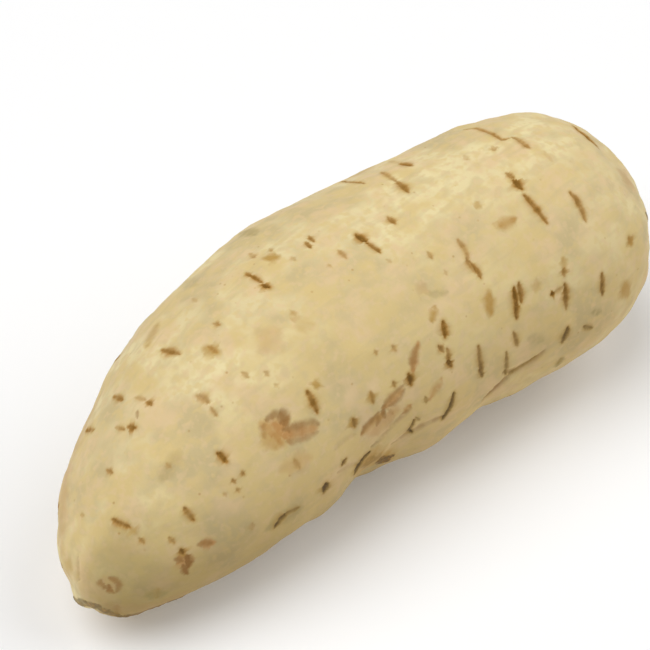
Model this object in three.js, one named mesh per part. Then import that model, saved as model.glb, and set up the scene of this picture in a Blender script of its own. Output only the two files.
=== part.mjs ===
// White sweet potato: one storage root, grown as one piece and lying on its side.
//
// Millimetres, +Z up. The root lies along X, with its thin root end at -X and its blunt crown at
// +X. The origin is under the middle of the root's box, on the surface that it rests on. A place
// on the skin is given by how far along it is from the root end, and by its angle around: 0 degrees
// is on top, 90 faces -Y, 180 is underneath and -90 faces +Y.

import * as THREE from 'three';

// Driving dimensions.
const LENGTH = 195; // root end to crown, without the torn stub
const TAPER = { length: 87, half: 36.7 }; // the tapered end, half of an ellipse
const CROWN = { length: 43.5, half: 37.5, squareness: 2.25 }; // the blunt end, squarer than an ellipse
const BELT = { at: 102, reach: 16, height: 1.7 }; // a slightly thicker belt around the middle
const HEIGHT_TO_WIDTH = 0.96; // a cross-section is slightly lower than it is wide

const SPAN = 100; // the bends below are measured this far from where they start
const SIDEWAYS_BEND = { at: 83, depth: 18 }; // both ends lean towards -Y
const UPWARD_BEND = { at: 108, depth: 5 }; // both ends rise, so that the middle touches the table
const MIDDLE_HEIGHT = 34.8; // the centre line above the table where it is lowest
const DROOP = { length: 95, endHeight: 13 }; // the root end bends down towards the table

const FLAT_DEPTH = 1; // how deep the round underside is pressed in to make the resting spot

// Torn end of the thin root: its flat end stands this far out past the root end.
const STUB = { length: 0.2, reach: 3.3, sideways: 5.1, upward: -0.8 };

// Broad lumps and hollows of the skin: where they are, how far they reach along and around,
// and their height, which is negative for a hollow.
const LUMPS = [
  { along: 8, around: -75, reach: 6, width: 8, height: 0.3 }, // shoulder behind the stub
  { along: 2, around: -70, reach: 3, width: 5, height: -0.8 }, // notch between that shoulder and the stub
  { along: 4, around: 130, reach: 6, width: 14, height: -1.0 }, // flat beneath the stub
  { along: 13, around: 128, reach: 6, width: 12, height: -1.2 }, // hollow behind that flat
  { along: 38, around: 108, reach: 16, width: 20, height: 0.7 }, // full flank of the tapered end
  { along: 60, around: 112, reach: 7, width: 20, height: 0.7 }, // fold in front of the waist
  { along: 73, around: 115, reach: 7, width: 24, height: -1.8 }, // waist of the lower flank
  { along: 78, around: 122, reach: 4, width: 10, height: -1.0 }, // deepest part of the waist
  { along: 78, around: 99, reach: 5, width: 5, height: 1.2 }, // corky knob in the waist
  { along: 86, around: 112, reach: 9, width: 20, height: -1.8 }, // the waist's shallow far side
  { along: 105, around: 126, reach: 6, width: 12, height: 0.7 }, // first fold under the thick end
  { along: 119, around: 110, reach: 8, width: 14, height: 0.4 }, // swelling above the folds
  { along: 124, around: 132, reach: 5, width: 12, height: -1.3 }, // valley between the folds
  { along: 137, around: 126, reach: 7, width: 12, height: 1.0 }, // second fold under the thick end
  { along: 128, around: 88, reach: 5, width: 14, height: -0.5 }, // crease above the folds
  { along: 183, around: 60, reach: 8, width: 9, height: 0.7 }, // stem scar on the crown
  { along: 186, around: 106, reach: 7, width: 12, height: 0.9 }, // lower edge of the crown
  { along: 187, around: -2, reach: 6, width: 10, height: -1.2 }, // hollow at the top of the crown
  { along: 178, around: -35, reach: 7, width: 10, height: 0.8 }, // shoulder of the crown
  { along: 135, around: -45, reach: 22, width: 12, height: -0.5 }, // long hollow of the upper back
  { along: 91, around: -52, reach: 8, width: 12, height: 1.0 }, // rise in the middle of the upper back
  { along: 38, around: -62, reach: 12, width: 14, height: -1.0 }, // hollow of the tapered end's back
  { along: 40, around: -120, reach: 22, width: 20, height: 1.1 }, // full back of the tapered end
  { along: 95, around: -100, reach: 26, width: 18, height: -1.2 }, // long hollow of the back
  { along: 150, around: -130, reach: 24, width: 22, height: 1.0 }, // shoulder of the back
  { along: 60, around: 165, reach: 18, width: 16, height: -0.9 }, // underside of the tapered end
];

const AROUND_STEPS = 64;
const ALONG_STEPS = 60;
const ROOT_END_CROWDING = 0.4; // how much closer the rings stand at the root end than at the crown

const SKIN = new THREE.MeshStandardMaterial({ color: 0xdcc796, roughness: 0.75, metalness: 0 });

const { clamp, smoothstep, degToRad, euclideanModulo } = THREE.MathUtils;
const UP = new THREE.Vector3(0, 0, 1);

// A bell-shaped rise of height 1 that fades over its reach.
function bell(distance, reach) {
  return Math.exp(-((distance / reach) ** 2));
}

// Half of the root's thickness at a distance along it.
function halfThickness(along) {
  const crownStart = LENGTH - CROWN.length;
  const belt = BELT.height * bell(along - BELT.at, BELT.reach);
  if (along < TAPER.length) {
    const left = 1 - along / TAPER.length;
    const ellipse = Math.sqrt(1 - left ** 2);
    return (TAPER.half + belt) * ellipse;
  }
  const middle = THREE.MathUtils.lerp(TAPER.half, CROWN.half, smoothstep(along, TAPER.length, crownStart));
  const past = clamp((along - crownStart) / CROWN.length, 0, 1);
  const roundedEnd = (1 - past ** CROWN.squareness) ** (1 / CROWN.squareness);
  return (middle + belt) * roundedEnd;
}

// A point of the bent centre line.
function centreLine(along) {
  const sideways = -SIDEWAYS_BEND.depth * ((along - SIDEWAYS_BEND.at) / SPAN) ** 2;
  const upwards = UPWARD_BEND.depth * ((along - UPWARD_BEND.at) / SPAN) ** 2;
  const droop = clamp(1 - along / DROOP.length, 0, 1) ** 2;
  const height = THREE.MathUtils.lerp(MIDDLE_HEIGHT + upwards, DROOP.endHeight, droop);
  return new THREE.Vector3(along, sideways, height);
}

// The centre line's direction, and the sideways and upward directions square to it.
function sectionAxes(along) {
  const step = 0.01;
  const forward = centreLine(along + step).sub(centreLine(along - step)).normalize();
  const sideways = new THREE.Vector3().crossVectors(UP, forward).normalize();
  const upward = new THREE.Vector3().crossVectors(forward, sideways);
  return { forward, sideways, upward };
}

// How far the lumps and hollows lift the skin at one place.
function lumpHeight(along, around, half) {
  let height = 0;
  for (const lump of LUMPS) {
    const turn = euclideanModulo(around - degToRad(lump.around) + Math.PI, 2 * Math.PI) - Math.PI;
    height += lump.height * bell(along - lump.along, lump.reach) * bell(turn * half, lump.width);
  }
  return height * Math.min(1, half / STUB.reach);
}

// How far the torn stub pulls the skin of the root end out to its flat end.
function stubLength(along, sideways, upward) {
  if (along > TAPER.length) return 0;
  const distance = Math.hypot(sideways - STUB.sideways, upward - STUB.upward);
  return (along + STUB.length) * Math.exp(-((distance / STUB.reach) ** 6));
}

// Presses the underside flat on the table, with a soft edge around the flat spot.
function restOnTable(height) {
  if (height >= FLAT_DEPTH) return height;
  if (height <= -FLAT_DEPTH) return 0;
  return (height + FLAT_DEPTH) ** 2 / (4 * FLAT_DEPTH);
}

// A point of the skin.
function skinPoint(along, around) {
  const half = halfThickness(along);
  const radius = half + lumpHeight(along, around, half);
  const sideways = -Math.sin(around) * radius;
  const upward = Math.cos(around) * radius * HEIGHT_TO_WIDTH;
  const axes = sectionAxes(along);
  const point = centreLine(along);
  point.addScaledVector(axes.sideways, sideways);
  point.addScaledVector(axes.upward, upward);
  point.addScaledVector(axes.forward, -stubLength(along, sideways, upward));
  point.z = restOnTable(point.z);
  return point;
}

// The whole root: a sphere with its poles at the two ends, stretched onto the skin.
function sweetPotatoGeometry() {
  const geometry = new THREE.SphereGeometry(1, AROUND_STEPS, ALONG_STEPS);
  geometry.rotateZ(Math.PI / 2);
  const position = geometry.attributes.position;
  const unit = new THREE.Vector3();
  for (let i = 0; i < position.count; i += 1) {
    unit.fromBufferAttribute(position, i);
    const around = Math.atan2(-unit.y, unit.z);
    const ring = Math.acos(clamp(-unit.x, -1, 1)); // 0 at the root end and pi at the crown
    const crowded = ring - ROOT_END_CROWDING * Math.sin(ring);
    const along = (LENGTH * (1 - Math.cos(crowded))) / 2;
    const point = skinPoint(along, around);
    position.setXYZ(i, point.x, point.y, point.z);
  }
  geometry.computeBoundingBox();
  const centre = geometry.boundingBox.getCenter(new THREE.Vector3());
  geometry.translate(-centre.x, -centre.y, 0);
  geometry.computeVertexNormals();
  return geometry;
}

const sweetPotato = new THREE.Mesh(sweetPotatoGeometry(), SKIN);
sweetPotato.name = 'sweet_potato';

const group = new THREE.Group();
group.add(sweetPotato);

export default group;
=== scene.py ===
"""White sweet potato: one pale root with corky slits, lying on a plain floor.

The file is laid out as an add-on and is run as a script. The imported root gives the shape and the
size. A finer skin is wrapped round it, its marks are laid on the skin as lines, and a Geometry
Nodes tree presses and raises the skin along those lines.

A place on the skin is given as (along, around): millimetres over the skin from the root end, and
degrees about the middle of the root, with 0 on top, 90 facing -Y, 180 below and -90 facing +Y.
"""

import math
from random import Random
from typing import NamedTuple

import bmesh
import bpy
import numpy as np
from bpy.props import FloatProperty, FloatVectorProperty, IntProperty, PointerProperty
from mathutils import Matrix, Vector, kdtree
from mathutils.bvhtree import BVHTree


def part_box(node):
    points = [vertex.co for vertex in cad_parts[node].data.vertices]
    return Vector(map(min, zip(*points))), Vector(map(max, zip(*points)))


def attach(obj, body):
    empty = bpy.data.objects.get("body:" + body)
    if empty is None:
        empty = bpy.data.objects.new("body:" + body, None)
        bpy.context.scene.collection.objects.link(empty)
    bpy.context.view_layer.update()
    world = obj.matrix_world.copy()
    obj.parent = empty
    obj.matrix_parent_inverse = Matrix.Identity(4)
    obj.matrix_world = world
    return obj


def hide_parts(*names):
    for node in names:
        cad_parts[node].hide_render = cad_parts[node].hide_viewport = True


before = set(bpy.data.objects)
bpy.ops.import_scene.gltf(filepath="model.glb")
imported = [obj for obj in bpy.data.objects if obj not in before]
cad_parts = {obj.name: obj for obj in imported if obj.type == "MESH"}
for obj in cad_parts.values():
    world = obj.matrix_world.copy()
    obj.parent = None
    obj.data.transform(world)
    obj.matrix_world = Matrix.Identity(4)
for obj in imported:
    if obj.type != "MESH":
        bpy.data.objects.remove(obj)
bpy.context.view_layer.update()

bl_info = {
    "name": "White sweet potato",
    "version": (1, 0, 0),
    "blender": (4, 5, 0),
    "location": "3D View > Sidebar > Sweet potato",
    "description": "Builds a white sweet potato's marked skin, its stage and its camera",
    "category": "Add Mesh",
}

MM = 0.001
NODE = "sweet_potato"
LOWEST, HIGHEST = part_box(NODE)
LENGTH = HIGHEST.x - LOWEST.x
HALF_THICKNESS = (HIGHEST.z - LOWEST.z) / 2
MM_PER_DEGREE = math.radians(1) * HALF_THICKNESS / MM
MERGE_DISTANCE = 0.01 * MM

# The guide line runs inside the root. It stops this many half thicknesses short of each end, and
# from there on the skin is found by fanning out round the line's end.
ROOT_END_FAN = 0.6
CROWN_FAN = 0.95

# The guide line is a smooth curve through the middles of some of the root's cross-sections.
SECTIONS = 25
CENTRING_ROUNDS = 3
CURVE_DEGREE = 4


# ---- Marks ----


class Mark(NamedTuple):
    """A mark drawn along a line: half of its width in mm, its strength, and its places.

    A stain's hue runs from 0, ochre, through 1, pink, to 2, olive.
    """

    reach: float
    strength: float
    places: list
    hue: float = 0


# Corky slits and dots. Most are given from the upper to the lower end.
SLITS = [
    # Tapered end.
    Mark(0.6, 0.4, [(21, -17), (21.5, -12)]),
    Mark(0.7, 0.55, [(35.5, -8), (35.5, -3)]),
    Mark(0.8, 0.65, [(25.5, 18), (26, 25), (27, 33)]),
    Mark(0.7, 0.5, [(26.5, 44), (26.5, 49)]),
    Mark(0.7, 0.5, [(32, 57), (32, 62)]),
    Mark(0.9, 0.7, [(32.3, 68), (32, 72)]),
    Mark(0.9, 0.6, [(39, 49), (38.5, 58)]),
    Mark(0.8, 0.6, [(42.5, -49), (42.5, -37)]),
    Mark(0.6, 0.35, [(43.3, 24), (43.3, 27)]),
    Mark(0.6, 0.5, [(44.2, -18), (44.7, -11)]),
    Mark(1.1, 0.75, [(45.5, -9), (46, -5)]),
    Mark(0.6, 0.4, [(47.3, 57.5), (47.3, 59.5)]),
    Mark(0.8, 0.3, [(48.5, 81), (48, 84)]),
    Mark(0.7, 0.45, [(50.3, 60), (50.3, 62)]),
    Mark(0.7, 0.55, [(50.8, 55), (50.8, 57)]),
    Mark(0.9, 0.65, [(51, -35), (50.5, -25)]),
    Mark(0.6, 0.4, [(52, -17), (52.3, -10)]),
    Mark(0.9, 0.65, [(52, -8), (52, -5)]),
    Mark(1.1, 0.85, [(52.5, 40), (52.5, 46)]),
    Mark(0.7, 0.5, [(53.7, 55), (53.7, 57)]),
    Mark(1.1, 0.45, [(59.2, 13), (59.7, 19)]),
    Mark(0.6, 0.5, [(59, 22), (58.5, 27)]),
    Mark(1, 0.65, [(64.5, -20), (65, -9)]),
    Mark(0.8, 0.4, [(66, 67), (66, 72)]),
    Mark(0.7, 0.45, [(70, 1), (70, 6)]),
    Mark(0.6, 0.4, [(70, 21.5), (70, 25)]),
    Mark(0.6, 0.35, [(73.7, 28.5), (73.7, 30.5)]),
    Mark(0.6, 0.3, [(73.5, 35.5), (73.5, 37.5)]),
    # Middle.
    Mark(0.7, 0.5, [(75.5, -6), (76, -3)]),
    Mark(1, 0.7, [(78.8, 47), (78, 57)]),
    Mark(0.6, 0.3, [(79.5, -28), (79, -24)]),
    Mark(1, 0.6, [(86.5, 70), (86.5, 74)]),
    Mark(0.8, 0.8, [(91, -14), (91, -11)]),
    Mark(0.7, 0.9, [(91, -11), (91, -4)]),
    Mark(1.2, 1.3, [(90.5, -3), (91, 0)]),
    Mark(0.8, 0.55, [(94.5, 64), (94, 69)]),
    Mark(0.8, 0.45, [(97, -24), (96.5, -19)]),
    Mark(0.5, 0.45, [(100.5, -18), (100, -15)]),
    Mark(0.6, 0.4, [(101.2, 50.5), (101.2, 52)]),
    Mark(0.7, 0.4, [(101.3, -5), (101.3, -3)]),
    Mark(0.9, 0.55, [(102.5, 66.5), (102.5, 68.5)]),
    Mark(0.7, 0.65, [(107, -7), (106.5, -3)]),
    Mark(0.8, 0.4, [(106.7, 53), (106.7, 55)]),
    Mark(1.2, 1, [(107.8, 67), (107.9, 72)]),
    Mark(0.6, 0.6, [(109, -9), (108.5, -5)]),
    Mark(0.7, 0.5, [(111, 6), (111, 11)]),
    Mark(0.6, 0.5, [(111.5, 81), (111.5, 84)]),
    Mark(1.2, 1.2, [(118, 4), (118.5, 10)]),
    Mark(0.7, 0.75, [(118.3, 9), (119.3, 17)]),
    Mark(0.5, 0.3, [(119.5, 21), (120, 23)]),
    Mark(1, 0.65, [(128.9, 3), (128.9, 8)]),
    Mark(1.1, 0.9, [(124.3, 55.5), (123.3, 61.5)]),
    Mark(0.9, 0.6, [(120.3, 63.5), (121.5, 67)]),
    Mark(1, 0.65, [(122.8, 66.5), (122.6, 71)]),
    Mark(1.1, 1.15, [(122.2, 71.5), (122.6, 74.5)]),
    Mark(0.7, 0.5, [(131, 27), (131, 30)]),
    Mark(0.5, 0.3, [(132.5, 37), (132.5, 39)]),
    Mark(0.6, 0.7, [(135, -48), (133, -36), (133.5, -23)]),
    Mark(0.9, 0.65, [(133.3, 73), (133.6, 86)]),
    Mark(1.1, 0.9, [(132.8, 84.5), (133.8, 88.5)]),
    Mark(0.8, 0.55, [(140.5, -27), (140, -15)]),
    Mark(1, 0.65, [(140, -14), (139, -4)]),
    Mark(0.8, 0.5, [(141, 28), (141, 37)]),
    Mark(1.1, 0.6, [(140.3, 37), (140.8, 44)]),
    Mark(0.8, 0.7, [(141, 40), (141.5, 47)]),
    Mark(0.6, 0.25, [(147, -37), (147, -29)]),
    Mark(0.9, 0.7, [(147, -28), (147.5, -20)]),
    # Thick end.
    Mark(1, 0.9, [(149.5, 57), (149, 64), (148, 70)]),
    Mark(0.9, 0.7, [(151.5, 56), (150.7, 64)]),
    Mark(0.7, 0.3, [(160, -8), (160, -5)]),
    Mark(0.8, 0.6, [(165.5, 11), (166, 15)]),
    Mark(1.4, 1, [(165.5, 16), (166, 21)]),
    Mark(0.9, 0.75, [(165.5, 24), (166, 30), (167, 39)]),
    Mark(0.6, 0.2, [(166.6, 55), (166.3, 58)]),
    Mark(0.9, 0.55, [(166, 59), (165.5, 62)]),
    Mark(1, 0.7, [(165, 65.5), (164.4, 71), (163.9, 76.5)]),
    Mark(1, 1, [(160.2, 67), (161.2, 67)]),
    Mark(0.8, 0.5, [(161.5, 66.8), (164.5, 66.3)]),
    Mark(0.9, 0.4, [(169, -6), (168.5, -3)]),
    Mark(0.6, 0.6, [(170.5, -31), (172.5, -24), (173.5, -14), (173.5, -8), (176.5, -7)]),
    Mark(0.9, 0.6, [(177, -7), (177.5, 4)]),
    Mark(0.9, 0.65, [(178.5, 32), (179, 39), (178.5, 46)]),
    Mark(1, 0.7, [(177, 69.5), (176.2, 79)]),
    Mark(0.7, 0.2, [(180.5, 9), (180, 15)]),
    Mark(1.5, 0.45, [(190, 64), (190, 66.5)]),
    Mark(1.1, 0.8, [(201.5, -12), (202, 12)]),
    # Lower flank.
    Mark(0.8, 0.3, [(22.5, 88), (21.5, 99)]),
    Mark(1, 1, [(90, 93.5), (87, 95.5), (85, 99), (85, 104)]),
    Mark(1.3, 0.9, [(54, 94), (56, 91), (58, 90)]),
    Mark(0.9, 0.65, [(58, 90), (62, 92)]),
    Mark(1.3, 0.9, [(71, 95), (72, 90)]),
    Mark(1.1, 0.85, [(79, 87), (80.5, 86)]),
    Mark(0.8, 0.8, [(107, 90), (105.5, 95), (107, 99)]),
    Mark(0.6, 0.5, [(107.5, 89), (109, 92)]),
    Mark(1, 0.9, [(121.8, 87), (120.7, 93), (118.2, 99)]),
    Mark(0.8, 0.6, [(146.2, 75.5), (146.8, 82.5)]),
    Mark(0.8, 0.6, [(142.8, 83), (143, 96)]),
    Mark(0.8, 0.5, [(144, 97), (149, 96.5), (154, 94)]),
    Mark(1.2, 0.85, [(163.4, 85), (161.8, 92.5)]),
    Mark(1, 0.7, [(168.8, 89), (171.5, 92.5)]),
    Mark(1.2, 0.35, [(163, 105), (162.5, 109)]),
]

# Healed scratches: brown lines round the places where the outer skin was rubbed off.
SCARS = [
    # Graze in the middle of the tapered end.
    Mark(0.9, 0.3, [(63, 50), (63.5, 47), (65, 45)]),
    Mark(1.6, 0.8, [(66, 44.5), (68.5, 45.5), (69.8, 48), (69.4, 51), (68.6, 55)]),
    Mark(1.2, 0.65, [(68, 53), (72.5, 56.5), (75, 58.5), (76.5, 61.5)]),
    Mark(0.9, 0.4, [(66.5, 57.5), (69, 61), (72.5, 63.5), (75.5, 64)]),
    # Long scratch under it.
    Mark(1, 0.55, [(105, 70.5), (101, 71.5), (98, 72.5), (97, 75)]),
    Mark(0.9, 0.4, [(105.5, 72.5), (103.5, 75), (101, 76), (99, 75.5)]),
    Mark(1, 0.75, [(97.2, 73.5), (96.8, 77), (97, 80)]),
    Mark(1.1, 0.7, [(95, 75.5), (92.5, 77), (89.5, 78), (88, 80)]),
    Mark(0.9, 0.6, [(94.5, 76), (94.6, 79), (93.5, 81)]),
    Mark(0.8, 0.3, [(98.5, 77), (100, 81)]),
    # Round scar near the root end.
    Mark(1, 0.7, [(10.2, 56), (9.5, 60), (9.9, 66), (10.8, 71)]),
    Mark(1, 0.7, [(12.8, 58), (14, 63), (14.1, 68), (13.8, 73), (12.6, 78)]),
    Mark(1, 0.8, [(11.6, 67), (11, 73), (12, 79)]),
    # Scratches between the two.
    Mark(1.2, 0.7, [(30, 72), (31, 76)]),
    Mark(1.4, 1, [(32.2, 74.5), (31.8, 79), (31.3, 83)]),
    Mark(1.2, 1, [(30.5, 79), (30.4, 88)]),
    Mark(1.2, 0.6, [(35.8, 73), (37, 74.5), (38.3, 77.5)]),
    Mark(1.4, 0.45, [(113.5, 58.5), (111, 62), (109.8, 65.5)]),
    Mark(0.6, 0.6, [(49.5, -10), (48, -7)]),
    # Along the fold beyond the waist.
    Mark(0.8, 0.5, [(143, 98), (140, 103), (137, 106)]),
    # Far side and underside.
    Mark(1, 0.6, [(60, 150), (66, 154), (70, 161)]),
    Mark(0.8, 0.5, [(62, 158), (67, 160)]),
    Mark(0.8, 0.5, [(150, 205), (154, 212), (161, 214)]),
    Mark(0.9, 0.6, [(102, -96), (106, -90), (107, -84)]),
    Mark(1, 0.7, [(181, -122), (184, -117), (189, -116)]),
]

# Soft creases. Most run lengthwise, at the waist and just beyond it. The material darkens
# them, partly as painted shade in the crease.
FOLDS = [
    Mark(1.4, 0.8, [(91, 91), (95, 90), (100, 87), (104, 85), (107, 82)]),
    Mark(1.6, 0.9, [(100, 101), (104.5, 98), (109.5, 97), (114, 97), (118, 97.5)]),
    Mark(1.4, 0.4, [(77, 76), (81.5, 76), (86, 78)]),
    Mark(1.2, 0.5, [(85, 96), (82, 92), (77, 90)]),
    Mark(1.6, 0.9, [(142, 94), (147, 97), (152, 96), (156, 93)]),
    Mark(1.8, 1, [(144, 98), (140, 103), (136, 106)]),
    Mark(1.2, 0.6, [(12, 100), (12, 112), (12.5, 121)]),
    Mark(0.8, 0.5, [(9, -2), (6, 5), (4.5, 14), (3, 30)]),
    # Far side and underside.
    Mark(1.6, 0.7, [(20, 200), (32, 204), (41, 203)]),
    Mark(1.8, 0.8, [(60, 176), (72, 181), (86, 182)]),
    Mark(1.5, 0.6, [(88, -150), (99, -146), (112, -147)]),
    Mark(1.8, 0.7, [(150, 160), (160, 163), (171, 160)]),
    Mark(1.4, 0.6, [(44, -92), (55, -88), (63, -89)]),
]

# Soft stains in the skin.
STAINS = [
    # Ochre.
    Mark(3.4, 0.8, [(69.5, 1), (70, 6)]),
    Mark(2.4, 0.8, [(97, -14), (99, -10)]),
    Mark(1.5, 0.7, [(88.5, 19), (90, 16)], hue=0.3),
    Mark(2.8, 0.3, [(88, 23), (91, 26)]),
    Mark(2.4, 0.9, [(81.5, 48), (82.5, 46)]),
    Mark(3.2, 0.7, [(63.5, 49), (64, 56)], hue=0.4),
    Mark(1.8, 0.5, [(27, 35), (27, 38)]),
    Mark(2.2, 0.6, [(71, -37), (64, -31)]),
    Mark(2.2, 0.9, [(141.8, 54), (140.8, 58), (139.8, 63)], hue=0.2),
    Mark(1.6, 0.9, [(124.3, 48.5), (122.5, 50.5), (121.2, 53)]),
    Mark(1.6, 0.7, [(118, 77), (113, 83)], hue=0.6),
    Mark(1.5, 0.8, [(103.5, 84), (106.5, 81.5)], hue=0.6),
    Mark(2.2, 0.6, [(94, 65), (94, 68)]),
    Mark(2.2, 0.7, [(86, 70), (86, 73)]),
    Mark(1.8, 0.6, [(166.8, 55), (166.4, 59)]),
    Mark(1.6, 0.5, [(157, 58.5), (156, 63)]),
    Mark(1.3, 0.7, [(152, 16), (152, 20)]),
    Mark(1.3, 0.8, [(105.5, 9), (106, 11)]),
    Mark(2.5, 0.4, [(137, -46), (145, -46)]),
    Mark(2.2, 0.95, [(153, 30), (156, 31.5), (159, 31)], hue=0.4),
    Mark(2.2, 0.8, [(190, 64), (190.2, 67)]),
    Mark(5, 1, [(87, 98), (90, 100), (95, 105), (102, 117)]),
    Mark(4, 0.8, [(87, 105), (92, 110), (96, 116)]),
    Mark(2.6, 0.35, [(6, -25), (4.5, -40), (3, -70)], hue=0.2),
    Mark(5, 0.15, [(4, 20), (6.5, 60), (8, 90)], hue=0.4),
    Mark(4.5, 0.35, [(10, -60), (16, -56), (26, -58), (40, -60), (52, -60)], hue=1),
    # Pink and pink-brown.
    Mark(4.4, 1, [(65, 46), (65, 50), (65.3, 56)], hue=0.6),
    Mark(4.4, 1, [(67, 49), (67.5, 55)], hue=0.8),
    Mark(2.4, 0.9, [(67.5, 54), (69, 57), (72, 59.5), (75.5, 62)], hue=0.9),
    Mark(2, 0.8, [(104.5, 72.5), (100, 73.5), (97.5, 75)], hue=0.7),
    Mark(2.2, 0.8, [(96.5, 77.5), (93, 78.5), (88.5, 80)], hue=0.5),
    Mark(3.8, 0.5, [(92, 83), (101, 80)], hue=1),
    Mark(2.8, 0.95, [(31, 73), (31.5, 82)], hue=0.8),
    Mark(2, 0.8, [(36.8, 74), (38.6, 78)], hue=0.9),
    Mark(2.6, 0.25, [(11.5, 56), (12, 74)], hue=0.7),
    Mark(1.8, 1, [(114, 57.5), (111.5, 62), (109.5, 67)], hue=0.8),
    Mark(4.5, 0.3, [(78, 20), (83, 19)], hue=1),
    Mark(2.2, 0.35, [(47, 25), (40, 28)], hue=1.7),
    Mark(3.4, 0.9, [(183.5, 81.5), (185.5, 90)], hue=0.2),
    Mark(3, 0.3, [(122, 38), (124, 40)], hue=1),
    Mark(4, 0.4, [(203, 33), (206, 44)], hue=1),
    Mark(3, 0.35, [(62, 67), (70, 71)], hue=1),
    # Olive.
    Mark(2.2, 0.6, [(105, -50), (103.5, -33)], hue=2),
    Mark(3, 0.6, [(52, 91), (62, 93)], hue=2),
    Mark(1.3, 0.4, [(124.5, 43), (130, 46)], hue=2),
    Mark(2, 0.4, [(151, 82), (155, 86)], hue=2),
    Mark(1.2, 0.7, [(171.5, 83.5), (175, 88)], hue=2),
    Mark(2, 0.8, [(163.5, 106), (163, 111)], hue=2),
    Mark(2.4, 0.25, [(85, -50), (84, -34)], hue=2),
    Mark(2.4, 0.95, [(20, 92), (24, 98)], hue=2),
    Mark(4.5, 0.8, [(10, 104), (13, 110), (19, 113), (28, 111)], hue=1.6),
    # Far side and underside.
    Mark(3, 0.6, [(50, 170), (53, 176)]),
    Mark(2.5, 0.6, [(120, 230), (124, 236)]),
    Mark(2.2, 0.7, [(175, -100), (177, -92)]),
    Mark(2, 0.6, [(34, -120), (36, -112)]),
    Mark(2.6, 0.7, [(63, 153), (67, 158)], hue=1),
    Mark(5, 0.4, [(90, 200), (97, 205)], hue=1),
    Mark(3, 0.6, [(140, 150), (146, 152)], hue=1),
    Mark(4, 0.4, [(196, -140), (200, -130)], hue=1),
    Mark(7, 0.4, [(100, 184), (122, 188)], hue=2),
    Mark(4, 0.4, [(28, 158), (36, 166)], hue=2),
    Mark(3, 0.5, [(150, -72), (158, -70)], hue=2),
]

# Rough cork: the torn root end, the knob in the waist and the stem scar on the crown.
SCABS = [
    Mark(1.7, 0.65, [(7.5, 110), (6, 124), (5.4, 146), (5.5, 175), (5.6, 190)]),
    Mark(1.4, 0.6, [(7.5, 115), (10, 122), (13, 124)]),
    Mark(2, 0.7, [(12, 124), (18, 126), (24, 124), (30, 121)]),
    Mark(2.6, 0.3, [(87, 99), (91, 102), (96, 108)]),
    Mark(2.6, 0.8, [(98, 111), (102, 119)]),
    Mark(1.5, 0.8, [(204, 64), (206, 70)]),
    Mark(3.6, 0.9, [(229.5, 0), (230.5, 90)]),
    Mark(1.6, 0.7, [(226, -40), (224, -28)]),
]

# The marks above cover the skin between these angles. The rest gets rows of seeded slits, which
# keep some degrees away from these angles and some mm away from the root's two ends.
MARKED_FROM = -55
MARKED_TO = 112
HIDDEN_MARGIN = 4
ROOT_END_MARGIN = 12
CROWN_MARGIN = 14
DOT_CHANCE = 0.35
CLUSTER_CHANCE = 0.4


# ---- What a user would change ----


def length_property(name, description, default):
    return FloatProperty(
        name=name,
        description=description,
        default=default,
        subtype="DISTANCE",
        unit="LENGTH",
    )


def angle_property(name, description, degrees):
    return FloatProperty(
        name=name,
        description=description,
        default=math.radians(degrees),
        subtype="ANGLE",
        unit="ROTATION",
    )


def strength_property(name, description, default):
    return FloatProperty(name=name, description=description, default=default, min=0)


def colour_property(name, description, default):
    return FloatVectorProperty(
        name=name,
        description=description,
        default=default,
        size=3,
        min=0,
        max=1,
        subtype="COLOR",
    )


class SkinSettings(bpy.types.PropertyGroup):
    """Sizes of the skin's mesh and of its relief."""

    spacing: length_property(
        "Spacing", "Distance between the skin's points away from the marks", 1.5 * MM
    )
    fine_band: length_property(
        "Fine band", "How far from a mark's line the skin's points stand closest", 1.8 * MM
    )
    slit_depth: length_property("Slit depth", "Depth of a corky slit", 0.45 * MM)
    lip_height: length_property("Lip height", "Height of the raised skin beside a slit", 0.1 * MM)
    lump_height: length_property(
        "Lump height", "Height of the broad lumps that the whole skin has", 1.2 * MM
    )
    wrinkle_height: length_property(
        "Wrinkle height", "Height of the fine wrinkles along and round the root", 0.25 * MM
    )
    cork_height: length_property(
        "Cork height", "How far rough cork stands out of the skin", 0.5 * MM
    )
    fold_depth: length_property("Fold depth", "Depth of the soft folds", 0.6 * MM)
    seed: IntProperty(
        name="Seed",
        description="Places the slits of the far side and the wobble of every line",
        default=7,
        min=0,
    )


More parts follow.
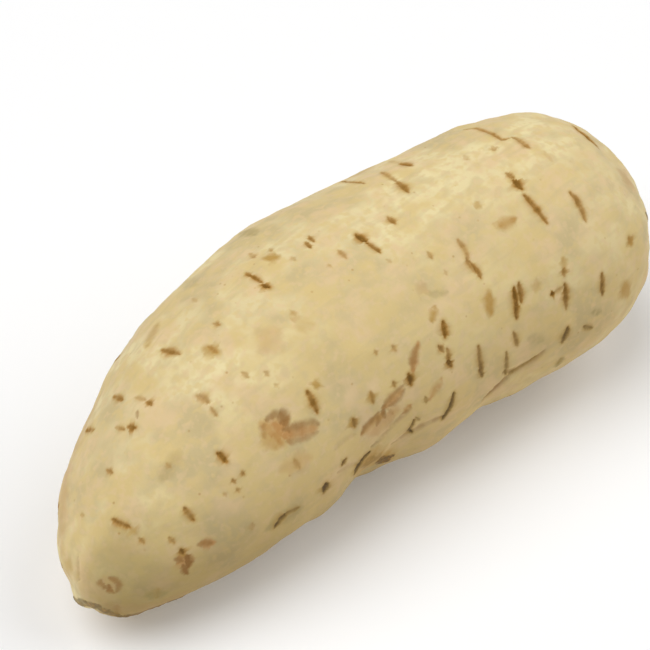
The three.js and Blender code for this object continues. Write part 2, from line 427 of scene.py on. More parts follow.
class ColourSettings(bpy.types.PropertyGroup):
    """Colours of the skin and its marks."""

    skin: colour_property("Skin", "Most of the skin", (0.75, 0.62, 0.34))
    pale: colour_property("Pale skin", "Palest patches of the skin", (0.815, 0.695, 0.385))
    # Yellow skin is a real hue in the mottles. On the flank towards -Y it also paints shade.
    yellow: colour_property("Yellow skin", "The skin that faces -Y", (0.71, 0.545, 0.245))
    tan: colour_property("Tan skin", "Darkest patches of the skin", (0.61, 0.485, 0.25))
    # Painted shade: the next two colours darken low skin that faces -Y, and the underside.
    painted_low_shade: colour_property("Painted low shade", "Tints low skin that faces -Y", (0.69, 0.675, 0.585))
    painted_underside_shade: colour_property("Painted underside shade", "Tints the underside", (0.90, 0.85, 0.76))
    blush: colour_property("Blush", "Faint pink patches of the skin", (0.75, 0.56, 0.31))
    ochre: colour_property("Ochre", "Yellow-brown stains", (0.48, 0.285, 0.065))
    pink: colour_property("Pink", "Pink-brown stains", (0.52, 0.275, 0.095))
    olive: colour_property("Olive", "Grey-green stains", (0.37, 0.28, 0.10))
    scar: colour_property("Scar", "Healed scratches", (0.32, 0.165, 0.05))
    cork: colour_property("Cork", "Edges of the slits and rough cork", (0.44, 0.225, 0.045))
    slit: colour_property("Slit", "Bottom of the slits", (0.22, 0.11, 0.016))
    tip: colour_property(
        "Torn end", "Hollows of the rough cork and of the lowest slits", (0.14, 0.09, 0.045)
    )


class StageSettings(bpy.types.PropertyGroup):
    """The floor, the lights and the camera."""

    floor: colour_property("Floor", "Colour of the floor", (0.8, 0.8, 0.8))
    floor_glow: strength_property(
        "Floor glow", "Even light that comes up through the floor, as on a light table", 0.15
    )
    left_light: strength_property(
        "Left light", "Strength of the wide soft light above, on the camera's left", 2.2
    )
    right_light: strength_property(
        "Right light", "Strength of the wide soft light on the camera's right", 1.28
    )
    light_spread: angle_property("Light spread", "How wide each light looks from the root", 55)
    ambient: strength_property("Ambient", "Strength of the even light from all round", 0.15)
    azimuth: angle_property(
        "Azimuth", "Where the camera stands: 0 looks along +Y, and -90 along +X", -45
    )
    elevation: angle_property("Elevation", "How steeply the camera looks down", 45)
    pan: angle_property("Pan", "How far the camera turns left of the root's middle", 0.44)
    tilt: angle_property("Tilt", "How far the camera turns up from the root's middle", 0.72)
    distance: length_property("Distance", "From the camera to the middle of the root", 750 * MM)
    lens: FloatProperty(
        name="Lens",
        description="Focal length in millimetres on the usual 36 mm sensor",
        default=153.4,
        min=1,
    )


# ---- Objects ----


def add_object(name, data):
    item = bpy.data.objects.new(name, data)
    bpy.context.scene.collection.objects.link(item)
    return item


# ---- The skin's places ----


class Guide:
    """The smooth solid inside the skin, and the line through its middle."""

    def __init__(self, solid):
        self.tree = smooth_tree(solid)
        self.start = LOWEST.x + ROOT_END_FAN * HALF_THICKNESS
        self.stop = HIGHEST.x - CROWN_FAN * HALF_THICKNESS
        places = np.linspace(self.start, self.stop, SECTIONS)
        middles = np.array([self.middle(x) for x in places])
        self.sideways = np.polyfit(places, middles[:, 0], CURVE_DEGREE)
        self.height = np.polyfit(places, middles[:, 1], CURVE_DEGREE)
        self.root_turn = ROOT_END_FAN * HALF_THICKNESS * math.pi / 2
        self.crown_turn = CROWN_FAN * HALF_THICKNESS * math.pi / 2
        self.length = self.root_turn + (self.stop - self.start) + self.crown_turn

    def middle(self, x):
        """The middle of the root's cross-section at x, found by centring it a few times over."""
        middle = Vector((x, 0, HALF_THICKNESS))
        for _ in range(CENTRING_ROUNDS):
            for axis in (1, 2):
                ray = Vector((0, 0, 0))
                ray[axis] = 1
                far = self.tree.ray_cast(middle, ray)[0]
                near = self.tree.ray_cast(middle, -ray)[0]
                middle[axis] = (far[axis] + near[axis]) / 2
        return middle.y, middle.z

    def centre(self, x):
        return Vector((x, np.polyval(self.sideways, x), np.polyval(self.height, x)))

    def forward(self, x):
        slopes = [np.polyval(np.polyder(line), x) for line in (self.sideways, self.height)]
        return Vector((1, *slopes)).normalized()

    def point(self, along, around):
        """The place of the skin at a distance along and an angle around, both in SI units."""
        x = min(max(self.start + along - self.root_turn, self.start), self.stop)
        forward = self.forward(x)
        sideways = Vector((0, 0, 1)).cross(forward).normalized()
        upward = forward.cross(sideways)
        outward = upward * math.cos(around) - sideways * math.sin(around)
        if along < self.root_turn:
            turn = math.pi / 2 * along / self.root_turn
            outward = outward * math.sin(turn) - forward * math.cos(turn)
        elif along > self.length - self.crown_turn:
            turn = math.pi / 2 * (self.length - along) / self.crown_turn
            outward = outward * math.sin(turn) + forward * math.cos(turn)
        return self.tree.ray_cast(self.centre(x), outward)[0]


def smooth_tree(solid):
    """A ray-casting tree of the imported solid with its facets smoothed."""
    copy = add_object("smooth_solid", solid.data.copy())
    weld = copy.modifiers.new("Weld", "WELD")
    weld.merge_threshold = MERGE_DISTANCE
    rounded = copy.modifiers.new("Subdivision", "SUBSURF")
    rounded.levels = 2
    rounded.render_levels = 2
    depsgraph = bpy.context.evaluated_depsgraph_get()
    tree = BVHTree.FromObject(copy, depsgraph)
    bpy.data.objects.remove(copy)
    return tree


# ---- Lines on the skin ----

# A line has a point about every LINE_STEP mm. From point to point it strays by up to WOBBLE, and
# keeps a share of the stray it had. At its ends it is narrower than in its middle.
LINE_STEP = 0.6
WOBBLE = 0.12
WOBBLE_KEPT = 0.7
END_WIDTH = 0.45


def hidden_slits(random, length):
    """Slits and dots, singly and in clusters, round the side that the lists above leave bare."""
    marks = []
    along = ROOT_END_MARGIN
    while along < length - CROWN_MARGIN:
        around = MARKED_TO + random.uniform(HIDDEN_MARGIN, 40)
        while around < 360 + MARKED_FROM - HIDDEN_MARGIN:
            # The span is in degrees, and the reach and the slant are in mm.
            if random.random() < DOT_CHANCE:
                span = random.uniform(1, 3)
                reach = random.uniform(0.5, 0.8)
            else:
                span = random.triangular(4, 17, 8)
                reach = random.uniform(0.6, 1.1)
            slant = random.uniform(-1.2, 1.2)
            places = [(along, around), (along + slant, around + span)]
            marks.append(Mark(reach, random.uniform(0.4, 1), places))
            around += span
            if random.random() < CLUSTER_CHANCE:
                around += random.uniform(3, 9)
            else:
                around += random.uniform(25, 90)
            along += random.uniform(-2.5, 2.5)
        along += random.uniform(4, 11)
    return marks


def spread(places):
    """Points close together along a line, as (along, around, how far through the line)."""
    points = []
    for i in range(len(places) - 1):
        along, around = places[i]
        to_along, to_around = places[i + 1]
        travel = math.hypot(to_along - along, (to_around - around) * MM_PER_DEGREE)
        steps = max(2, math.ceil(travel / LINE_STEP))
        for step in range(steps + (i == len(places) - 2)):
            share = step / steps
            through = (i + share) / (len(places) - 1)
            here_along = along + (to_along - along) * share
            here_around = around + (to_around - around) * share
            points.append((here_along, here_around, through))
    return points


def lay_lines(name, marks, guide, random):
    """One mesh of lines on the skin, with a reach, a strength and a hue at each point."""
    points = []
    edges = []
    values = {"reach": [], "strength": [], "hue": []}
    for mark in marks:
        drift = 0
        swell = 0
        for i, (along, around, through) in enumerate(spread(mark.places)):
            drift = WOBBLE_KEPT * drift + random.uniform(-WOBBLE, WOBBLE) * min(1, mark.reach)
            swell = WOBBLE_KEPT * swell + random.uniform(-WOBBLE, WOBBLE)
            if i:
                edges.append((len(points) - 1, len(points)))
            points.append(guide.point((along + drift) * MM, math.radians(around)))
            taper = END_WIDTH + (1 - END_WIDTH) * math.sin(math.pi * through) ** 0.6
            values["reach"].append(mark.reach * taper * (1 + swell) * MM)
            values["strength"].append(mark.strength * (1 + swell))
            values["hue"].append(mark.hue)
    mesh = bpy.data.meshes.new(name)
    mesh.from_pydata(points, edges, [])
    for attribute, numbers in values.items():
        mesh.attributes.new(attribute, "FLOAT", "POINT").data.foreach_set("value", numbers)
    return add_object(name, mesh)


# ---- The skin's mesh ----


def wrap_skin(guide, spacing):
    """An even grid of points round the smooth solid, open along the line underneath."""
    rows = round(guide.length / spacing)
    columns = round(2 * math.pi * HALF_THICKNESS / spacing)
    mesh_points = bmesh.new()
    places = mesh_points.loops.layers.uv.new("OFBake")
    root_end = mesh_points.verts.new(guide.point(0, 0))
    crown = mesh_points.verts.new(guide.point(guide.length, 0))
    grid = []
    for row in range(1, rows):
        along = guide.length * row / rows
        turns = [2 * math.pi * column / columns - math.pi for column in range(columns + 1)]
        grid.append([mesh_points.verts.new(guide.point(along, turn)) for turn in turns])

    def vertex(row, column):
        if row == 0:
            return root_end
        if row == rows:
            return crown
        return grid[row - 1][column]

    def add_face(*corners):
        """A face from the rows and columns of its corners."""
        face = mesh_points.faces.new([vertex(row, column) for row, column in corners])
        for loop, (row, column) in zip(face.loops, corners):
            loop[places].uv = (column / columns, row / rows)

    for column in range(columns):
        beside = column + 1
        middle = column + 0.5
        add_face((0, middle), (1, beside), (1, column))
        add_face((rows, middle), (rows - 1, column), (rows - 1, beside))
        for row in range(1, rows - 1):
            add_face((row, column), (row, beside), (row + 1, beside), (row + 1, column))
    bmesh.ops.triangulate(mesh_points, faces=mesh_points.faces[:])
    return mesh_points


def refine(skin, guide, line_objects, band):
    """Splits the skin's triangles near the lines twice, then closes the skin underneath."""
    points = [vertex.co for lines in line_objects for vertex in lines.data.vertices]
    tree = kdtree.KDTree(len(points))
    for i, point in enumerate(points):
        tree.insert(point, i)
    tree.balance()
    for reach in (2 * band, band):
        near = []
        for edge in skin.edges:
            middle = (edge.verts[0].co + edge.verts[1].co) / 2
            if tree.find(middle)[2] < reach:
                near.append(edge)
        bmesh.ops.subdivide_edges(
            skin, edges=near, cuts=1, use_grid_fill=True, use_single_edge=True
        )
        bmesh.ops.triangulate(skin, faces=[face for face in skin.faces if len(face.verts) > 3])
        for vertex in skin.verts:
            vertex.co = guide.tree.find_nearest(vertex.co)[0]
    seam = [vertex for vertex in skin.verts if vertex.is_boundary]
    bmesh.ops.remove_doubles(skin, verts=seam, dist=MERGE_DISTANCE)


# ---- Node helpers ----


class Nodes:
    """Adds nodes to a tree. An input is a value or another node's output."""

    def __init__(self, tree):
        self.tree = tree

    def add(self, kind, inputs=None, **settings):
        node = self.tree.nodes.new(kind)
        for name, value in settings.items():
            setattr(node, name, value)
        for key, value in (inputs or {}).items():
            if isinstance(value, bpy.types.NodeSocket):
                self.tree.links.new(value, node.inputs[key])
            else:
                node.inputs[key].default_value = value
        return node

    def math(self, operation, *values):
        return self.add("ShaderNodeMath", dict(enumerate(values)), operation=operation).outputs[0]

    def vector(self, operation, first, second):
        node = self.add("ShaderNodeVectorMath", {0: first, 1: second}, operation=operation)
        return node.outputs[0]

    def total(self, *values):
        result = values[0]
        for value in values[1:]:
            result = self.math("ADD", result, value)
        return result

    def product(self, *values):
        result = values[0]
        for value in values[1:]:
            result = self.math("MULTIPLY", result, value)
        return result

    def fade(self, value, start, end, low=0.0, high=1.0):
        """Goes smoothly from low to high as the value goes from start to end."""
        inputs = {"Value": value, "From Min": start, "From Max": end, "To Min": low, "To Max": high}
        node = self.add("ShaderNodeMapRange", inputs, interpolation_type="SMOOTHSTEP")
        return node.outputs["Result"]

    def bump(self, value, start, top, end):
        """Rises from start to top and falls again to end, between 0 and 1."""
        return self.product(self.fade(value, start, top), self.fade(value, end, top))

    def noise(self, vector, size, detail=2.0, roughness=0.5):
        """Soft noise between about -0.5 and 0.5, with features of a size."""
        inputs = {"Vector": vector, "Scale": 1 / size, "Detail": detail, "Roughness": roughness}
        return self.math("SUBTRACT", self.add("ShaderNodeTexNoise", inputs).outputs[0], 0.5)

    def blend(self, factor, first, second, kind="MIX"):
        """Mixes two colours. Each is a setting's colour or another node's output."""
        inputs = {0: factor, 6: with_alpha(first), 7: with_alpha(second)}
        return self.add("ShaderNodeMix", inputs, data_type="RGBA", blend_type=kind).outputs[2]

    def store(self, geometry, name, value):
        """The geometry with a value kept at each of its points."""
        inputs = {"Geometry": geometry, "Name": name, "Value": value}
        return self.add("GeometryNodeStoreNamedAttribute", inputs).outputs[0]

    def stored(self, name):
        """A kept value, for a material."""
        return self.add("ShaderNodeAttribute", attribute_name=name).outputs["Fac"]


def with_alpha(colour):
    return colour if isinstance(colour, bpy.types.NodeSocket) else (*colour, 1)


# ---- Relief ----

# Sizes of the relief's patterns. The last serves the slits' edges in the material too.
LUMP_SIZE = 28 * MM
DIMPLE_SIZE = 11 * MM
WRINKLE_SIZE = 3.5 * MM
RING_SIZE = 7 * MM
CRUMB_SIZE = 2.2 * MM
RAGGED_SIZE = 1.5 * MM

# The whole skin is drawn in by this share of the lumps' height.
DRAWN_IN = 0.1

# A mark counts as no farther away than this many times its own reach.
FARTHEST_GAP = 20.0

FAMILIES = ("Slits", "Scars", "Folds", "Stains", "Scabs")
RELIEF_SIZES = (
    "Slit depth",
    "Lip height",
    "Lump height",
    "Wrinkle height",
    "Cork height",
    "Fold depth",
)
RELIEF_INPUTS = {
    **dict.fromkeys(FAMILIES, "NodeSocketObject"),
    **dict.fromkeys(RELIEF_SIZES, "NodeSocketFloat"),
    "Seed": "NodeSocketFloat",
    "Lowest corner": "NodeSocketVector",
    "Highest corner": "NodeSocketVector",
    "Skin material": "NodeSocketMaterial",
}


def sample_lines(nodes, lines_object, position):
    """The nearest line's distance in reaches, its strength and its hue."""
    lines = nodes.add("GeometryNodeObjectInfo", {"Object": lines_object}).outputs["Geometry"]
    near_to = {"Geometry": lines, "Sample Position": position}
    near = nodes.add("GeometryNodeProximity", near_to, target_element="EDGES")
    nearest = nodes.add("GeometryNodeSampleNearest", near_to)
    sampled = {}
    for name in ("reach", "strength", "hue"):
        field = nodes.add("GeometryNodeInputNamedAttribute", {"Name": name}).outputs["Attribute"]
        inputs = {"Geometry": lines, "Value": field, "Index": nearest.outputs["Index"]}
        sampled[name] = nodes.add("GeometryNodeSampleIndex", inputs).outputs["Value"]
    gap = nodes.math("DIVIDE", near.outputs["Distance"], sampled["reach"])
    return nodes.math("MINIMUM", gap, FARTHEST_GAP), sampled["strength"], sampled["hue"]


def relief_height(nodes, given, place, families):
    """How far each point of the skin moves outwards."""
    lump_height = given["Lump height"]
    wrinkle_height = given["Wrinkle height"]
    inward = nodes.product(lump_height, -DRAWN_IN)
    lumps = nodes.product(nodes.noise(place, LUMP_SIZE, 1.0), lump_height)
    dimples = nodes.product(nodes.noise(place, DIMPLE_SIZE), lump_height, 1.6)
    lengthwise = nodes.vector("MULTIPLY", place, (0.12, 1, 1))
    wrinkles = nodes.product(nodes.noise(lengthwise, WRINKLE_SIZE), wrinkle_height)
    crosswise = nodes.vector("MULTIPLY", place, (1, 0.15, 0.15))
    rings = nodes.product(nodes.noise(crosswise, RING_SIZE), wrinkle_height)

    ragged = nodes.noise(place, RAGGED_SIZE)
    gap, strength = families["Slits"]
    edge = nodes.total(gap, ragged)
    groove = nodes.product(nodes.fade(edge, 0.8, 0.1), strength, given["Slit depth"], -1.0)
    lips = nodes.product(nodes.bump(edge, 0.7, 1.1, 1.9), strength, given["Lip height"])

    gap, strength = families["Scars"]
    edge = nodes.total(gap, nodes.product(ragged, 0.8))
    scratch = nodes.product(nodes.fade(edge, 1.2, 0.3), strength, given["Lip height"], -1.5)

    gap, strength = families["Folds"]
    fold = nodes.product(nodes.fade(gap, 1.6, 0), strength, given["Fold depth"], -1.0)

    gap, strength = families["Scabs"]
    edge = nodes.total(gap, nodes.product(ragged, 0.8))
    crumbs = nodes.total(0.5, nodes.product(nodes.noise(place, CRUMB_SIZE, 3.0, 0.7), 2.5))
    cork = nodes.product(nodes.fade(edge, 1.2, 0.6), strength, crumbs, given["Cork height"])
    return nodes.total(inward, lumps, dimples, wrinkles, rings, groove, lips, scratch, fold, cork)


def relief_tree():
    """The tree that presses slits into the skin and raises their lips, cork, lumps and wrinkles."""
    tree = bpy.data.node_groups.new("Sweet potato relief", "GeometryNodeTree")
    tree.is_modifier = True
    tree.interface.new_socket("Geometry", in_out="INPUT", socket_type="NodeSocketGeometry")
    for name, kind in RELIEF_INPUTS.items():
        tree.interface.new_socket(name, in_out="INPUT", socket_type=kind)
    tree.interface.new_socket("Geometry", in_out="OUTPUT", socket_type="NodeSocketGeometry")
    nodes = Nodes(tree)
    given = nodes.add("NodeGroupInput").outputs
    position = nodes.add("GeometryNodeInputPosition").outputs[0]
    normal = nodes.add("GeometryNodeInputNormal").outputs[0]

    # The underside, leaning towards -Y: the mask of the material's painted underside shade,
    # which the slits' colours follow too.
    out = nodes.add("ShaderNodeSeparateXYZ", {0: normal}).outputs
    downward = nodes.fade(nodes.total(out[2], nodes.product(out[1], 0.45)), 0.2, -0.6)
    geometry = nodes.store(given["Geometry"], "underside", downward)

    families = {}
    for family in FAMILIES:
        gap, strength, hue = sample_lines(nodes, given[family], position)
        families[family] = (gap, strength)
        geometry = nodes.store(geometry, f"{family.lower()}_gap", gap)
        geometry = nodes.store(geometry, f"{family.lower()}_strength", strength)
        if family == "Stains":
            geometry = nodes.store(geometry, "stains_hue", hue)

    shifted = nodes.vector("ADD", position, given["Seed"])
    height = relief_height(nodes, given, shifted, families)
    offset = nodes.add("ShaderNodeVectorMath", {0: normal, "Scale": height}, operation="SCALE")
    moving = {"Geometry": geometry, "Offset": offset.outputs[0]}
    moved = nodes.add("GeometryNodeSetPosition", moving).outputs[0]
    kept = nodes.vector("MAXIMUM", position, given["Lowest corner"])
    kept = nodes.vector("MINIMUM", kept, given["Highest corner"])
    boxed = nodes.add("GeometryNodeSetPosition", {"Geometry": moved, "Position": kept}).outputs[0]
    smooth = nodes.add("GeometryNodeSetShadeSmooth", {"Geometry": boxed}).outputs[0]
    realised = nodes.add("GeometryNodeRealizeInstances", {"Geometry": smooth}).outputs[0]
    covering = {"Geometry": realised, "Material": given["Skin material"]}
    covered = nodes.add("GeometryNodeSetMaterial", covering).outputs[0]
    nodes.add("NodeGroupOutput", {"Geometry": covered})
    return tree


def apply_tree(piece, tree, values):
    """Runs a Geometry Nodes tree on the piece and keeps the result as its plain mesh."""
    modifier = piece.modifiers.new(tree.name, "NODES")
    modifier.node_group = tree
    for item in tree.interface.items_tree:
        if item.in_out == "INPUT" and item.name in values:
            modifier[item.identifier] = values[item.name]
    depsgraph = bpy.context.evaluated_depsgraph_get()
    evaluated = piece.evaluated_get(depsgraph)
    mesh = bpy.data.meshes.new_from_object(
        evaluated, preserve_all_data_layers=True, depsgraph=depsgraph
    )
    piece.modifiers.clear()
    piece.data = mesh


# ---- Material ----


class Mottle(NamedTuple):
    """Patches of a colour where a noise, of a size in mm, rises past a start."""

    colour: str
    size: float
    start: float
    share: float
    drawn_out: bool = False


# Patches of the plain skin, from the broadest to the finest.
MOTTLES = [
    Mottle("tan", 15, -0.05, 1),
    Mottle("yellow", 11, -0.03, 1),
    Mottle("blush", 9, -0.02, 0.9),
    Mottle("yellow", 5, 0, 0.6),
    Mottle("tan", 4, 0, 0.5),
    Mottle("tan", 2.6, 0, 0.4, drawn_out=True),
    Mottle("yellow", 2.4, 0, 0.6),
    Mottle("blush", 2, 0, 0.5),
]
MOTTLE_FADE = 0.2  # from a patch's start to its full colour

# Sizes of the material's patterns, and depths of its fine relief.
CLOUD_SIZE = 26 * MM
PORE_SPACING = 3.2 * MM
TATTER_SIZE = 2.4 * MM
GRIT_SIZE = 1.2 * MM
GRAIN_SIZE = 0.9 * MM
HAIRLINE_SIZE = 1.1 * MM
GRAIN_HEIGHT = 0.06 * MM
GRIT_HEIGHT = 0.2 * MM
PORE_DEPTH = 0.05 * MM


def plain_skin(nodes, place, lengthwise, clouds, underside, colours):
    """Pale clouds, yellower towards -Y and the root end, mottled at every size.

    The yellower flank towards -Y and the root end is partly painted shade, on the side away from
    the lights. Low skin that faces -Y gets a painted low shade, and the underside a painted shade
    all along.
    """
    base = nodes.blend(nodes.fade(clouds, -0.14, 0.14), colours.skin, colours.pale)
    x, y, z = nodes.add("ShaderNodeSeparateXYZ", {0: place}).outputs
    drift = nodes.product(clouds, 25 * MM)
    sideways = nodes.total(y, drift)
    # Painted shade, partly a real yellower hue: the flank towards -Y turns yellower and darker,
    # most of all towards the root end.
    rootwards = nodes.fade(x, 90 * MM, -30 * MM, 0.2, 1)
    flank = nodes.product(nodes.fade(sideways, 0, -22 * MM), rootwards)
    base = nodes.blend(flank, base, colours.yellow)
    for mottle in MOTTLES:
        vector = lengthwise if mottle.drawn_out else place
        noise = nodes.noise(vector, mottle.size * MM, 1.6)
        patches = nodes.fade(noise, mottle.start, mottle.start + MOTTLE_FADE, 0, mottle.share)
        base = nodes.blend(patches, base, getattr(colours, mottle.colour))
    # Painted shade: low skin on the -Y side is darkened, more so towards the root end.
    sunk = nodes.fade(nodes.total(z, drift, nodes.product(x, 0.25)), 34 * MM, -6 * MM)
    low = nodes.product(sunk, nodes.fade(sideways, -2 * MM, -14 * MM))
    base = nodes.blend(low, base, colours.painted_low_shade, "MULTIPLY")
    # Painted shade: the underside, leaning towards -Y, is darkened all along.
    return nodes.blend(underside, base, colours.painted_underside_shade, "MULTIPLY")


def pores(nodes, place):
    """How much of a pore a place is: small round spots in some of the cells of a pattern."""
    cells = nodes.add("ShaderNodeTexVoronoi", {"Vector": place, "Scale": 1 / PORE_SPACING})
    spot = nodes.fade(cells.outputs["Distance"], 0.16, 0.04)
    chance = nodes.add("ShaderNodeSeparateColor", {0: cells.outputs["Color"]}).outputs[0]
    return nodes.product(spot, nodes.fade(chance, 0.65, 0.97))


def stained(nodes, base, tatter, colours):
    """The skin with its soft stains."""
    hue = nodes.stored("stains_hue")
    stain = nodes.blend(nodes.fade(hue, 0, 1), colours.ochre, colours.pink)
    stain = nodes.blend(nodes.fade(hue, 1, 2), stain, colours.olive)
    edge = nodes.total(nodes.stored("stains_gap"), nodes.product(tatter, 1.1))
    soaked = nodes.product(nodes.fade(edge, 1.45, 0.1), nodes.stored("stains_strength"))
    return nodes.blend(soaked, base, stain)


def slitted(nodes, base, place, grit, underside, colours):
    """The skin with its slits, which are greyer on the underside, and where their lips are."""
    gap = nodes.stored("slits_gap")
    edge = nodes.total(gap, nodes.noise(place, RAGGED_SIZE))
    strength = nodes.stored("slits_strength")
    halo = nodes.product(nodes.fade(gap, 3.4, 0.8), strength, 0.45)
    lip = nodes.product(nodes.fade(edge, 1.9, 0.3), nodes.fade(strength, 0, 1.0, 0.1, 1))
    broken = nodes.fade(grit, -0.2, 0.02, 0.4, 1)
    core = nodes.product(nodes.fade(edge, 1.15, 0.1), nodes.fade(strength, 0.25, 1.1, 0, 1), broken)
    lip_colour = nodes.blend(nodes.product(underside, 0.6), colours.cork, colours.olive)
    core_colour = nodes.blend(underside, colours.slit, colours.tip)
    base = nodes.blend(halo, base, colours.ochre)
    base = nodes.blend(lip, base, lip_colour)
    return nodes.blend(core, base, core_colour), lip


def skin_material(colours):
    """Pale mottled skin with slits, scars, stains and rough cork."""
    material = bpy.data.materials.new("sweet_potato_skin")
    material.use_nodes = True
    tree = material.node_tree
    tree.nodes.clear()
    nodes = Nodes(tree)
    place = nodes.add("ShaderNodeTexCoord").outputs["Object"]
    lengthwise = nodes.vector("MULTIPLY", place, (0.15, 1, 1))
    clouds = nodes.noise(place, CLOUD_SIZE)
    tatter = nodes.noise(place, TATTER_SIZE, 4.0, 0.6)
    grit = nodes.noise(place, GRIT_SIZE, 4.0, 0.7)
    underside = nodes.stored("underside")

    base = plain_skin(nodes, place, lengthwise, clouds, underside, colours)
    pore = pores(nodes, place)
    base = nodes.blend(nodes.product(pore, 0.5), base, colours.cork)
    base = stained(nodes, base, tatter, colours)

    # Folds, darkened along their lines with the scar colour: partly the crease's own colour,
    # partly painted shade in the crease.
    crease_colour_and_shade = nodes.fade(nodes.stored("folds_gap"), 1.2, 0.1)
    crease_colour_and_shade = nodes.product(crease_colour_and_shade, nodes.stored("folds_strength"), 0.5)
    base = nodes.blend(crease_colour_and_shade, base, colours.scar)

    # Scars.
    edge = nodes.total(nodes.stored("scars_gap"), nodes.product(tatter, 1.2))
    scarred = nodes.product(nodes.fade(edge, 1.6, 0.1), nodes.stored("scars_strength"))
    base = nodes.blend(scarred, base, colours.scar)

    # Rough cork.
    edge = nodes.total(nodes.stored("scabs_gap"), tatter)
    rough = nodes.product(nodes.fade(edge, 1.25, 0.7), nodes.stored("scabs_strength"))
    crust = nodes.blend(nodes.fade(grit, -0.05, 0.25), colours.tip, colours.cork)
    base = nodes.blend(rough, base, crust)

    base, lip = slitted(nodes, base, place, grit, underside, colours)
    dry = nodes.math("MAXIMUM", nodes.math("MAXIMUM", lip, rough), scarred)
    roughness = nodes.total(nodes.fade(dry, 0, 1, 0.62, 0.9), nodes.product(clouds, 0.3))

    # Fine relief: grain, lengthwise hairlines, grit in the cork and pores.
    grain = nodes.product(nodes.noise(place, GRAIN_SIZE, 3.0, 0.6), GRAIN_HEIGHT)
    hairlines = nodes.product(nodes.noise(lengthwise, HAIRLINE_SIZE), GRAIN_HEIGHT)
    gritty = nodes.product(grit, dry, GRIT_HEIGHT)
    height = nodes.total(grain, hairlines, gritty, nodes.product(pore, -PORE_DEPTH))
    relief = nodes.add("ShaderNodeBump", {"Height": height, "Distance": 1.0, "Strength": 1.0})

    inputs = {"Base Color": base, "Roughness": roughness, "Normal": relief.outputs["Normal"]}
    skin = nodes.add("ShaderNodeBsdfPrincipled", inputs)
    skin.inputs["Specular IOR Level"].default_value = 0.2
    skin.inputs["Subsurface Weight"].default_value = 0.08
    skin.inputs["Subsurface Radius"].default_value = (1.0, 0.6, 0.3)
    skin.inputs["Subsurface Scale"].default_value = 2 * MM
    nodes.add("ShaderNodeOutputMaterial", {"Surface": skin.outputs["BSDF"]})
    return material


def floor_material(stage):
    material = bpy.data.materials.new("floor")
    material.use_nodes = True
    shader = material.node_tree.nodes["Principled BSDF"]
    shader.inputs["Base Color"].default_value = with_alpha(stage.floor)
    shader.inputs["Roughness"].default_value = 0.9
    shader.inputs["Emission Color"].default_value = (1, 1, 1, 1)
    shader.inputs["Emission Strength"].default_value = stage.floor_glow
    return material


# ---- Operators ----


class SWEETPOTATO_OT_root(bpy.types.Operator):
    """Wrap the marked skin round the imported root"""

    bl_idname = "sweetpotato.root"
    bl_label = "Build the root"

    def execute(self, context):
        sizes = context.scene.sweet_potato_skin
        guide = Guide(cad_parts[NODE])
        random = Random(sizes.seed)
        slits = SLITS + hidden_slits(random, guide.length / MM)
        families = {}
        for family, marks in zip(FAMILIES, (slits, SCARS, FOLDS, STAINS, SCABS)):
            families[family] = lay_lines(f"{family} lines", marks, guide, random)
        skin = wrap_skin(guide, sizes.spacing)
        fine = [families["Slits"], families["Scars"], families["Scabs"]]
        refine(skin, guide, fine, sizes.fine_band)
        mesh = bpy.data.meshes.new("root_skin")
        skin.to_mesh(mesh)
        skin.free()
        piece = add_object("root_skin", mesh)
        values = {
            **families,
            **{name: getattr(sizes, name.lower().replace(" ", "_")) for name in RELIEF_SIZES},
            "Seed": float(sizes.seed),
            "Lowest corner": LOWEST,
            "Highest corner": HIGHEST,
            "Skin material": skin_material(context.scene.sweet_potato_colours),
        }
        apply_tree(piece, relief_tree(), values)
        for lines in families.values():
            bpy.data.objects.remove(lines)
        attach(piece, "root")
        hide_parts(NODE)
        return {"FINISHED"}


class SWEETPOTATO_OT_stage(bpy.types.Operator):
    """Set up the floor, the lights and the camera"""

    bl_idname = "sweetpotato.stage"
    bl_label = "Set up the stage"

    def execute(self, context):
        stage = context.scene.sweet_potato_stage
        add_floor(stage)
        add_light("left_light", stage.left_light, *LEFT_LIGHT_LEAN, stage.light_spread)
        add_light("right_light", stage.right_light, *RIGHT_LIGHT_LEAN, stage.light_spread)
        add_ambient(stage)
        add_camera(stage)
        context.scene.view_settings.view_transform = "Standard"
        return {"FINISHED"}


FLOOR_HALF = 100 * LENGTH
AIM_HEIGHT = 30 * MM

# The azimuth from +X that each light leans towards, and how far it leans from overhead, in degrees.
LEFT_LIGHT_LEAN = (150, 25)
RIGHT_LIGHT_LEAN = (-30, 48)


def add_floor(stage):
    """A square floor, far larger than any view of the root shows."""
    ways = ((-1, -1), (1, -1), (1, 1), (-1, 1))
    corners = [(x * FLOOR_HALF, y * FLOOR_HALF, 0) for x, y in ways]
    mesh = bpy.data.meshes.new("floor")
    mesh.from_pydata(corners, [], [(0, 1, 2, 3)])
    mesh.materials.append(floor_material(stage))
    floor = add_object("floor", mesh)


def add_light(name, strength, azimuth, tilt, spread_angle):
    """A wide soft light that leans from overhead towards an azimuth."""
    light = bpy.data.lights.new(name, "SUN")
    light.energy = strength
    light.angle = spread_angle
    lean = Matrix.Rotation(math.radians(tilt), 4, "Y")
    lamp = add_object(name, light)
    lamp.matrix_world = Matrix.Rotation(math.radians(azimuth), 4, "Z") @ lean


def add_ambient(stage):
    world = bpy.data.worlds.new("ambient")
    world.use_nodes = True
    background = world.node_tree.nodes["Background"]
    background.inputs["Color"].default_value = (1, 1, 1, 1)
    background.inputs["Strength"].default_value = stage.ambient
    bpy.context.scene.world = world


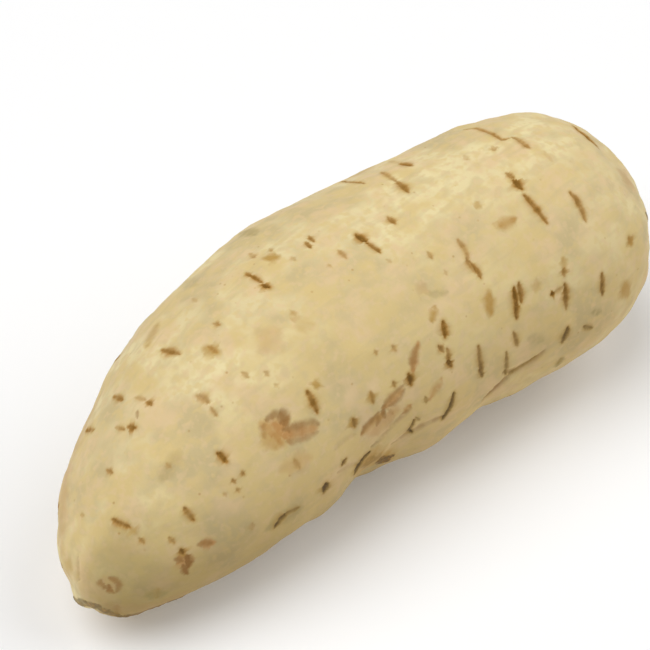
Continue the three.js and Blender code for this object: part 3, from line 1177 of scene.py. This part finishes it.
def add_camera(stage):
    """The camera looks down past the root end, with the root filling the frame."""
    turn = stage.azimuth
    level = math.cos(stage.elevation)
    back = Vector((math.sin(turn) * level, -math.cos(turn) * level, math.sin(stage.elevation)))
    place = Vector((0, 0, AIM_HEIGHT)) + stage.distance * back
    towards_root = back.to_track_quat("Z", "Y").to_matrix().to_4x4()
    pan = Matrix.Rotation(stage.pan, 4, "Y")
    tilt = Matrix.Rotation(stage.tilt, 4, "X")
    data = bpy.data.cameras.new("camera")
    data.lens = stage.lens
    camera = add_object("camera", data)
    camera.matrix_world = Matrix.Translation(place) @ towards_root @ pan @ tilt
    bpy.context.scene.camera = camera


class SWEETPOTATO_PT_panel(bpy.types.Panel):
    """Lists the build steps and what can be changed"""

    bl_idname = "SWEETPOTATO_PT_panel"
    bl_label = "Sweet potato"
    bl_space_type = "VIEW_3D"
    bl_region_type = "UI"
    bl_category = "Sweet potato"

    def draw(self, context):
        layout = self.layout
        for title, settings in settings_of(context.scene).items():
            box = layout.box()
            box.label(text=title)
            for name in settings.__annotations__:
                box.prop(settings, name)
        for operator in OPERATORS:
            layout.operator(operator.bl_idname)


def settings_of(scene):
    return {
        "Skin": scene.sweet_potato_skin,
        "Colours": scene.sweet_potato_colours,
        "Stage": scene.sweet_potato_stage,
    }


# ---- Registering and running ----

GROUPS = {
    "sweet_potato_skin": SkinSettings,
    "sweet_potato_colours": ColourSettings,
    "sweet_potato_stage": StageSettings,
}
OPERATORS = [SWEETPOTATO_OT_root, SWEETPOTATO_OT_stage]
CLASSES = [*GROUPS.values(), *OPERATORS, SWEETPOTATO_PT_panel]


def register():
    for cls in CLASSES:
        bpy.utils.register_class(cls)
    for name, group in GROUPS.items():
        setattr(bpy.types.Scene, name, PointerProperty(type=group))


def unregister():
    for name in GROUPS:
        delattr(bpy.types.Scene, name)
    for cls in reversed(CLASSES):
        bpy.utils.unregister_class(cls)


def main():
    register()
    bpy.ops.sweetpotato.root()
    bpy.ops.sweetpotato.stage()


if __name__ == "__main__":
    main()
